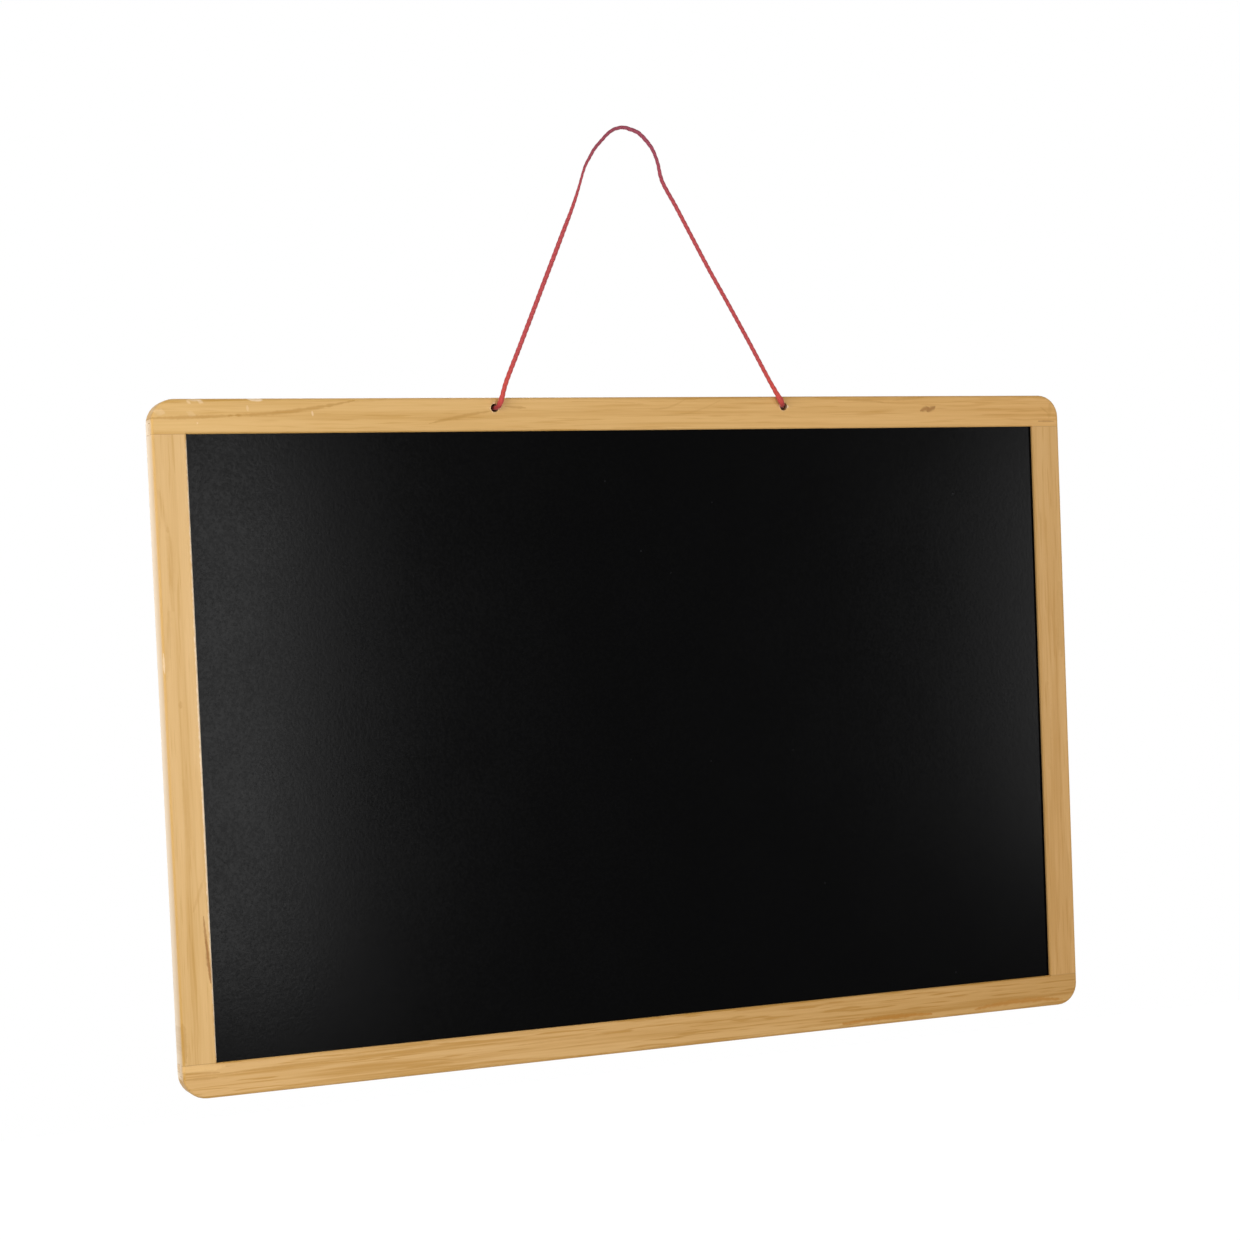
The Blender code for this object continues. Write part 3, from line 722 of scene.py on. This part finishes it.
def panel_material(surface, groups):
    """Black chalkboard paint in front, bare hardboard behind and at the edges."""
    material, wiring, shader = new_material("chalkboard_paint")
    place = own_place(wiring)
    paint = wiring.use(groups["paint_grain"], {"Place": place, "Grain": surface.grain})
    depth = wiring.parts(place)["Y"]
    painted = wiring.sum("LESS_THAN", depth, PANEL[0].y + PAINT_DEPTH)
    black = rgba(surface.paint)
    half = surface.fleck_size / 4
    for x, z, strength in FLECKS:
        fleck = (x - half, z, x + half, z, 0.0, surface.fleck_size, strength)
        black = marked(wiring, black, place, fleck, surface.fleck, groups)
    shades = wiring.spread(paint["Mottle"], 0.94, 1.05)
    shades = wiring.sum("MULTIPLY", shades, wiring.spread(paint["Grain"], 0.86, 1.12))
    brown = wiring.mix(1.0, rgba(surface.board), wiring.grey(shades), "MULTIPLY")
    wiring.feed(shader.inputs["Base Color"], wiring.mix(painted, brown, black))
    least, most = 0.95 * surface.roughness, 1.05 * surface.roughness
    roughness = wiring.spread(paint["Mottle"], least, most)
    roughness = wiring.sum("MULTIPLY", roughness, wiring.spread(paint["Grain"], 0.88, 1.12))
    rough_and_bumpy(wiring, shader, roughness, paint["Grain"], PAINT_BUMP)
    set_values(shader, {"Specular IOR Level": surface.gloss})
    return material


def cord_material(cord, groups):
    """Soft red yarn, duller towards the nail."""
    material, wiring, shader = new_material("red_cord")
    place, worn, shaded = (
        wiring.add("ShaderNodeAttribute", attribute_name=name).outputs
        for name in ("yarn", "worn", "shaded")
    )
    yarn = wiring.use(groups["yarn"], {"Place": place["Vector"]})
    base = wiring.mix(worn["Fac"], rgba(cord.red), rgba(cord.dull))
    # Painted shade: darker red between the fibres, and on the cord inside the holes
    deep = wiring.between(yarn["Fibres"], 0.30, 0.62, 0.40, 0.0)
    base = wiring.mix(wiring.sum("MAXIMUM", deep, shaded["Fac"]), base, rgba(cord.shade))
    wiring.feed(shader.inputs["Base Color"], base)
    roughness = wiring.spread(yarn["Slubs"], 0.75, 0.92)
    height = wiring.sum("MULTIPLY_ADD", yarn["Slubs"], 1.5, yarn["Fibres"])
    rough_and_bumpy(wiring, shader, roughness, height, CORD_BUMP)
    sheen = {"Sheen Weight": 0.35, "Sheen Roughness": 0.5, "Sheen Tint": (1.0, 0.55, 0.55, 1.0)}
    set_values(shader, {"Specular IOR Level": CORD_GLOSS, **sheen})
    return material


def staple_material(groups):
    """Bright steel wire, a little tarnished."""
    material, wiring, shader = new_material("staple_steel")
    place = own_place(wiring)
    grain = wiring.use(groups["paint_grain"], {"Place": place, "Grain": STAPLE_GRAIN})
    tarnish = wiring.between(grain["Grain"], 0.35, 0.70)
    base = wiring.mix(tarnish, (0.58, 0.58, 0.59, 1.0), (0.36, 0.34, 0.32, 1.0))
    wiring.feed(shader.inputs["Base Color"], base)
    roughness = wiring.spread(grain["Grain"], 0.26, 0.45)
    rough_and_bumpy(wiring, shader, roughness, grain["Grain"], STAPLE_BUMP)
    set_values(shader, {"Metallic": 1.0})
    return material


GROUP_MAKERS = {
    "pine_grain": pine_grain_group,
    "grain_mark": grain_mark_group,
    "paint_grain": paint_grain_group,
    "yarn": yarn_group,
}


def groups_in_use():
    """The effects that the materials share, each made on first use."""
    known = bpy.data.node_groups
    return {name: known.get(name) or maker() for name, maker in GROUP_MAKERS.items()}


def wear(node, material):
    """Gives a carried-over solid its finish."""
    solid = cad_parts[node]
    solid.data.materials.clear()
    solid.data.materials.append(material)


def seam_outline(timber):
    """The glue's section: how far in from the frame's outer side, and Y."""
    inset = timber.glue_inset
    radius = timber.outer_round - inset
    bevel = timber.inner_bevel + inset
    inner = TOP_RAIL[1].z - TOP_RAIL[0].z - inset
    back = PANEL[0].y - timber.groove_play
    outline = [(inset, back)]
    for step in range(ARRIS_STEPS + 1):
        angle = math.pi / 2 * step / ARRIS_STEPS
        across = timber.outer_round - radius * math.cos(angle)
        outline.append((across, FRONT_Y + timber.outer_round - radius * math.sin(angle)))
    return [*outline, (inner - bevel, FRONT_Y + inset), (inner, FRONT_Y + bevel), (inner, back)]


def new_object(name, data):
    """An object in the scene."""
    made = bpy.data.objects.new(name, data)
    bpy.context.scene.collection.objects.link(made)
    return made


def add_prism(points, faces, near, far):
    """Adds a solid between two outlines of as many points."""
    count = len(near)
    below = range(len(points), len(points) + count)
    above = range(below.stop, below.stop + count)
    points += [*near, *far]
    faces += [tuple(below), tuple(above)]
    for number in range(count):
        after = (number + 1) % count
        faces.append((below[number], below[after], above[after], above[number]))


def seam_glue(timber):
    """Thin glue in each corner's front seam, and round the tenon where it shows at the side."""
    outline = seam_outline(timber)
    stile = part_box("left_stile")
    front, back, play = PANEL[0].y, PANEL[1].y, timber.groove_play
    corners = (
        (TOP_RAIL[0].z, stile[1].z, -timber.seam, play),
        (BOTTOM_RAIL[1].z, stile[0].z, timber.seam, -play),
    )
    points, faces = [], []
    for rail, tenon, down, up in corners:
        sleeve = [
            (front - play, rail + down),
            (front - play, tenon + up),
            (back + play, tenon + up),
            (back + play, rail + down),
            (back, rail + down),
            (back, tenon),
            (front, tenon),
            (front, rail + down),
        ]
        for side, inward in ((TOP_RAIL[0].x, 1), (TOP_RAIL[1].x, -1)):
            seam = [(side + inward * across, y) for across, y in outline]
            add_prism(points, faces, *([(x, y, z) for x, y in seam] for z in (rail, rail + down)))
            ends = [side + inward * reach for reach in (timber.glue_inset, timber.glue_depth)]
            add_prism(points, faces, *([(x, y, z) for y, z in sleeve] for x in ends))
    mesh = bpy.data.meshes.new("seam_glue")
    mesh.from_pydata(points, [], faces)
    shape = bmesh.new()
    shape.from_mesh(mesh)
    bmesh.ops.recalc_face_normals(shape, faces=shape.faces)
    shape.to_mesh(mesh)
    shape.free()
    return new_object("seam_glue", mesh)


def smooth_line(points, samples):
    """A centripetal curve through the points, and how far along the list each place is."""
    points = [np.array(point, float) for point in points]
    row = [2 * points[0] - points[1], *points, 2 * points[-1] - points[-2]]
    line, steps = [], []
    for number, (p0, p1, p2, p3) in enumerate(zip(row, row[1:], row[2:], row[3:])):
        t1 = math.sqrt(np.linalg.norm(p1 - p0))
        t2 = t1 + math.sqrt(np.linalg.norm(p2 - p1))
        t3 = t2 + math.sqrt(np.linalg.norm(p3 - p2))
        for step in range(samples):
            t = t1 + (t2 - t1) * step / samples
            a1 = p0 + (p1 - p0) * t / t1
            a2 = p1 + (p2 - p1) * (t - t1) / (t2 - t1)
            a3 = p2 + (p3 - p2) * (t - t2) / (t3 - t2)
            b1 = a1 + (a2 - a1) * t / t2
            b2 = a2 + (a3 - a2) * (t - t1) / (t3 - t1)
            line.append(b1 + (b2 - b1) * (t - t1) / (t2 - t1))
            steps.append(number + step / samples)
    line.append(points[-1])
    steps.append(len(points) - 1)
    return np.array(line), np.array(steps, float)


def distances(line):
    """How far along the line each of its places is."""
    pieces = np.linalg.norm(np.diff(line, axis=0), axis=1)
    return np.concatenate([[0.0], np.cumsum(pieces)])


def carried_sides(line):
    """The line's direction at each place, and a side that turns as little as it can."""
    ahead = np.gradient(line, axis=0)
    ahead /= np.linalg.norm(ahead, axis=1)[:, None]
    side = np.cross(ahead[0], FIRST_SIDE)
    sides = []
    for direction in ahead:
        side = side - direction * side.dot(direction)
        side = side / np.linalg.norm(side)
        sides.append(side)
    return ahead, np.array(sides)


def bore_centre(bore):
    """The middle line of a hole's cord, as X and Z."""
    middle = (bore[0] + bore[1]) / 2
    return middle.x, middle.z


def knot_points(bore, spin, cord):
    """The knot's points from its seat behind the frame to its tail."""
    x, z = bore_centre(bore)
    pitch = cord.knot_thickness + cord.knot_clearance
    spun = Matrix.Rotation(spin, 3, "Y")
    points = [Vector((x, BACK_Y + cord.seat_gap, z))]
    for right, up, away in KNOT_ROUTE_SHARES:
        local = Vector((right * pitch, cord.seat_gap + away * pitch, up * pitch))
        points.append(Vector((x, BACK_Y, z)) + spun @ local)
    return points


class CordLine:
    """The whole cord from one tail to the other, as rings, and where its stretches part."""

    def __init__(self, cord):
        squeezed = cord.knot_thickness / cord.thickness
        ends = {}
        for side, mouth in MOUTH_ROUTES.items():
            knot = knot_points(BORES[side], KNOT_TURNS[side], cord)[::-1]
            ends[side] = [(point, squeezed, 1.0, 0.0) for point in knot]
            for (x, y, z, swell), shade in zip(mouth, MOUTH_SHADE_SHARES):
                ends[side].append((Vector((x, y, z)), swell, 1.0, shade))
        loop = [(Vector((x, 0.0, z)), 1.0, wide, 0.0) for x, z, wide in LOOP_ROUTE]
        points, thick, wide, shaded = zip(*ends["left"], *loop, *ends["right"][::-1])
        line, steps = smooth_line(points, ROUTE_STEPS)
        along = distances(line)
        spaced = np.linspace(0.0, along[-1], round(along[-1] / RING_SPACING) + 1)
        self.line = np.stack([np.interp(spaced, along, line[:, k]) for k in range(3)], axis=1)
        self.ahead, self.side = carried_sides(self.line)
        self.steps = np.interp(spaced, along, steps)
        self.along = spaced
        numbers = np.arange(len(points))
        self.wide = np.interp(self.steps, numbers, wide)
        self.thick = np.interp(self.steps, numbers, thick)
        self.shaded = np.interp(self.steps, numbers, shaded)
        last, seat, leg = len(points) - 1, len(KNOT_ROUTE_SHARES), len(ends["left"])
        self.cuts = {
            "left_seat": seat,
            "left_leg": leg,
            "right_leg": last - leg,
            "right_seat": last - seat,
        }
        start, end = (self.along[self.ring(side + "_leg")] for side in ("left", "right"))
        away = np.abs(self.along - (start + end) / 2) / ((end - start) / 2)
        self.worn = np.interp(away, DULLED_PLACES, DULLED_SHARES)

    def ring(self, cut):
        """The first ring at or after a cut."""
        return int(np.searchsorted(self.steps, self.cuts[cut]))


def ply_outline(plies, sides):
    """How far a cord of round plies reaches at each angle, as a share of its radius."""
    angles = np.arange(sides) * 2 * math.pi / sides
    lobe = 2 * math.pi / plies
    off = (angles + lobe / 2) % lobe - lobe / 2
    reach = PLY_OFFSET_SHARE * np.cos(off)
    reach += np.sqrt(PLY_RADIUS_SHARE**2 - (PLY_OFFSET_SHARE * np.sin(off)) ** 2)
    return angles, reach


def cord_piece(name, whole, first, last, cord, material):
    """One stretch of the twisted cord as a closed mesh."""
    ahead, side, sides = whole.ahead, whole.side, RING_SIDES
    angles, reach = ply_outline(cord.plies, sides)
    rings = np.arange(first, last + 1)
    radius = cord.thickness / 2
    points, places = [], []
    for ring in rings:
        up = np.cross(ahead[ring], side[ring])
        turned = angles + 2 * math.pi * whole.along[ring] / cord.lay
        out = np.outer(np.cos(turned), side[ring]) + np.outer(np.sin(turned), up)
        out *= (radius * whole.thick[ring] * reach)[:, None]
        if whole.wide[ring] < 1.0:
            across = np.cross(ahead[ring], (0.0, 1.0, 0.0))
            across /= np.linalg.norm(across)
            out -= np.outer(out @ across, across) * (1 - whole.wide[ring])
        points.append(whole.line[ring] + out)
        unrolled = np.stack(
            [radius * np.cos(turned), radius * np.sin(turned), np.full(sides, whole.along[ring])],
            axis=1,
        )
        places.append(unrolled)
    count = len(rings)
    points = np.concatenate([*points, whole.line[[first, last]]])
    ends = [[0, 0, whole.along[first]], [0, 0, whole.along[last]]]
    places = np.concatenate([*places, ends])
    faces = []
    for ring in range(count - 1):
        for number in range(sides):
            a = ring * sides + number
            b = ring * sides + (number + 1) % sides
            faces.append((a, b, b + sides, a + sides))
    start, end = count * sides, count * sides + 1
    final = (count - 1) * sides
    for number in range(sides):
        after = (number + 1) % sides
        faces.append((start, after, number))
        faces.append((end, final + number, final + after))
    mesh = bpy.data.meshes.new(name)
    mesh.from_pydata(points.tolist(), [], faces)
    attribute = mesh.attributes.new("yarn", "FLOAT_VECTOR", "POINT")
    attribute.data.foreach_set("vector", places.astype(np.float32).ravel())
    for label, shares in (("worn", whole.worn), ("shaded", whole.shaded)):
        spread = np.concatenate([np.repeat(shares[rings], sides), shares[[first, last]]])
        attribute = mesh.attributes.new(label, "FLOAT", "POINT")
        attribute.data.foreach_set("value", spread.astype(np.float32))
    mesh.shade_smooth()
    mesh.materials.append(material)
    piece = new_object(name, mesh)
    return piece


def cord_makings(context):
    """The cord's settings, its line, and its material, which is made on first use."""
    cord = context.scene.chalkboard_cord
    material = bpy.data.materials.get("red_cord") or cord_material(cord, groups_in_use())
    return cord, CordLine(cord), material


class CHALKBOARD_OT_camera(Operator):
    """Sets the camera at the photograph's angle"""

    bl_idname = "chalkboard.camera"
    bl_label = "Camera"

    def execute(self, context):
        studio = context.scene.chalkboard_studio
        lens = bpy.data.cameras.new("photo_camera")
        lens.lens = studio.lens
        lens.shift_y = studio.rise
        camera = new_object("photo_camera", lens)
        turned = (
            Matrix.Rotation(studio.yaw, 3, "Z")
            @ Matrix.Rotation(studio.pitch, 3, "X")
            @ Matrix.Rotation(studio.roll, 3, "Y")
            @ Matrix.Rotation(math.pi / 2, 3, "X")
        )
        camera.location = studio.eye
        camera.rotation_euler = turned.to_euler()
        context.scene.camera = camera
        return {"FINISHED"}


class CHALKBOARD_OT_cord_loop(Operator):
    """Makes the free loop of cord from hole to hole"""

    bl_idname = "chalkboard.cord_loop"
    bl_label = "Cord Loop"

    def execute(self, context):
        cord, whole, material = cord_makings(context)
        first, last = whole.ring("left_leg"), whole.ring("right_leg")
        piece = cord_piece("hanging_loop", whole, first, last, cord, material)
        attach(piece, "hanging_cord")
        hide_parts("cord_loop")
        return {"FINISHED"}


class CHALKBOARD_OT_cord_ends(Operator):
    """Makes the cord's bends at the holes and its lengths inside them"""

    bl_idname = "chalkboard.cord_ends"
    bl_label = "Cord Ends"

    def execute(self, context):
        cord, whole, material = cord_makings(context)
        for side in MOUTH_ROUTES:
            rings = sorted((whole.ring(side + "_seat"), whole.ring(side + "_leg")))
            piece = cord_piece(side + "_elbow", whole, *rings, cord, material)
            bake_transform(piece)
            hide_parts(side + "_cord_end")
        return {"FINISHED"}


class CHALKBOARD_OT_knots(Operator):
    """Ties the overhand knots behind the top rail"""

    bl_idname = "chalkboard.knots"
    bl_label = "Stopper Knots"

    def execute(self, context):
        cord, whole, material = cord_makings(context)
        ends = {
            "left": (0, whole.ring("left_seat")),
            "right": (whole.ring("right_seat"), len(whole.line) - 1),
        }
        for side, (first, last) in ends.items():
            piece = cord_piece(side + "_knot", whole, first, last, cord, material)
            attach(piece, "board")
            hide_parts(side + "_stopper_knot")
        return {"FINISHED"}


class CHALKBOARD_OT_frame(Operator):
    """Finishes the four pine members of the frame"""

    bl_idname = "chalkboard.frame"
    bl_label = "Pine Frame"

    def execute(self, context):
        timber = context.scene.chalkboard_timber
        for node in MEMBERS:
            wear(node, pine_material(node, timber, groups_in_use()))
        return {"FINISHED"}


class CHALKBOARD_OT_glue(Operator):
    """Puts glue in the frame's front seams and round its tenons"""

    bl_idname = "chalkboard.glue"
    bl_label = "Seam Glue"

    def execute(self, context):
        timber = context.scene.chalkboard_timber
        material, _, shader = new_material("seam_glue")
        set_values(shader, {"Base Color": rgba(timber.glue), "Roughness": 0.5})
        glue = seam_glue(timber)
        glue.data.materials.append(material)
        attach(glue, "board")
        return {"FINISHED"}


class CHALKBOARD_OT_panel(Operator):
    """Finishes the writing panel"""

    bl_idname = "chalkboard.panel"
    bl_label = "Writing Panel"

    def execute(self, context):
        material = panel_material(context.scene.chalkboard_surface, groups_in_use())
        wear("writing_panel", material)
        return {"FINISHED"}


class CHALKBOARD_OT_staples(Operator):
    """Finishes the staples across the corner seams"""

    bl_idname = "chalkboard.staples"
    bl_label = "Corner Staples"

    def execute(self, context):
        material = staple_material(groups_in_use())
        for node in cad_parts:
            if "_staple_" in node:
                wear(node, material)
        return {"FINISHED"}


def add_lamp(name, place, wide, high, watts):
    """A soft upright lamp that faces the board's middle."""
    light = bpy.data.lights.new(name, "AREA")
    light.shape = "RECTANGLE"
    light.size = wide
    light.size_y = high
    light.energy = watts
    lamp = new_object(name, light)
    lamp.location = place
    lamp.visible_camera = False
    lamp.rotation_euler = (BOARD_CENTRE - lamp.location).to_track_quat("-Z", "Y").to_euler()


def white_to_the_eye(wiring):
    """1 for rays that see the background straight, in gloss or through glass, and 0 for light."""
    path = wiring.add("ShaderNodeLightPath").outputs
    seen = wiring.sum("MAXIMUM", path["Is Camera Ray"], path["Is Glossy Ray"])
    return wiring.sum("MAXIMUM", seen, path["Is Transmission Ray"])


class CHALKBOARD_OT_stage(Operator):
    """Lays the pale floor and hangs the soft lamps"""

    bl_idname = "chalkboard.stage"
    bl_label = "Stage"

    def execute(self, context):
        scene = context.scene
        studio = scene.chalkboard_studio
        scene.view_settings.view_transform = "Standard"
        world = bpy.data.worlds.new("soft_white")
        world.use_nodes = True
        scene.world = world
        wiring = Wiring(world.node_tree)
        background = world.node_tree.nodes["Background"]
        set_values(background, {"Color": WHITE})
        seen = white_to_the_eye(wiring)
        strength = wiring.add(
            "ShaderNodeMapRange", {"Value": seen, "To Min": studio.ambient, "To Max": 1.0}
        )
        wiring.feed(background.inputs["Strength"], strength.outputs["Result"])

        bpy.ops.mesh.primitive_plane_add(size=FLOOR_SIZE)
        floor = context.active_object
        floor.name = "floor"
        floor.location = (BOARD_CENTRE.x, BOARD_CENTRE.y, BOTTOM_RAIL[0].z - studio.floor_drop)
        material, wiring, shader = new_material("pale_floor")
        matt = {"Roughness": 0.9, "Specular IOR Level": 0.1, "Emission Color": WHITE}
        set_values(shader, {"Base Color": rgba(studio.floor_colour), **matt})
        lift = wiring.sum("MULTIPLY", white_to_the_eye(wiring), studio.floor_lift)
        wiring.feed(shader.inputs["Emission Strength"], lift)
        floor.data.materials.append(material)

        for name, (place, wide, high, setting) in LAMPS.items():
            add_lamp(name, place, wide, high, getattr(studio, setting))
        return {"FINISHED"}


class CHALKBOARD_PT_sidebar(Panel):
    """Lists the chalkboard's steps and settings"""

    bl_idname = "CHALKBOARD_PT_sidebar"
    bl_label = "Wall Chalkboard"
    bl_space_type = "VIEW_3D"
    bl_region_type = "UI"
    bl_category = "Chalkboard"

    def draw(self, context):
        scene = context.scene
        layout = self.layout
        for step in STEPS:
            layout.operator(step.bl_idname)
        for name in SETTINGS:
            box = layout.box()
            settings = getattr(scene, name)
            for field in settings.__annotations__:
                box.prop(settings, field)


STEPS = (
    CHALKBOARD_OT_camera,
    CHALKBOARD_OT_cord_ends,
    CHALKBOARD_OT_knots,
    CHALKBOARD_OT_cord_loop,
    CHALKBOARD_OT_frame,
    CHALKBOARD_OT_glue,
    CHALKBOARD_OT_panel,
    CHALKBOARD_OT_staples,
    CHALKBOARD_OT_stage,
)
SETTINGS = {
    "chalkboard_studio": ChalkboardStudio,
    "chalkboard_timber": ChalkboardTimber,
    "chalkboard_surface": ChalkboardSurface,
    "chalkboard_cord": ChalkboardCord,
}


def register():
    for kind in (*SETTINGS.values(), *STEPS, CHALKBOARD_PT_sidebar):
        bpy.utils.register_class(kind)
    for name, kind in SETTINGS.items():
        setattr(bpy.types.Scene, name, PointerProperty(type=kind))


def unregister():
    for name in SETTINGS:
        delattr(bpy.types.Scene, name)
    for kind in (CHALKBOARD_PT_sidebar, *reversed(STEPS), *reversed(SETTINGS.values())):
        bpy.utils.unregister_class(kind)


def main():
    register()
    bpy.ops.chalkboard.camera()
    bpy.ops.chalkboard.cord_ends()
    bpy.ops.chalkboard.knots()
    bpy.ops.chalkboard.cord_loop()
    bpy.ops.chalkboard.frame()
    bpy.ops.chalkboard.glue()
    bpy.ops.chalkboard.panel()
    bpy.ops.chalkboard.staples()
    bpy.ops.chalkboard.stage()


if __name__ == "__main__":
    main()
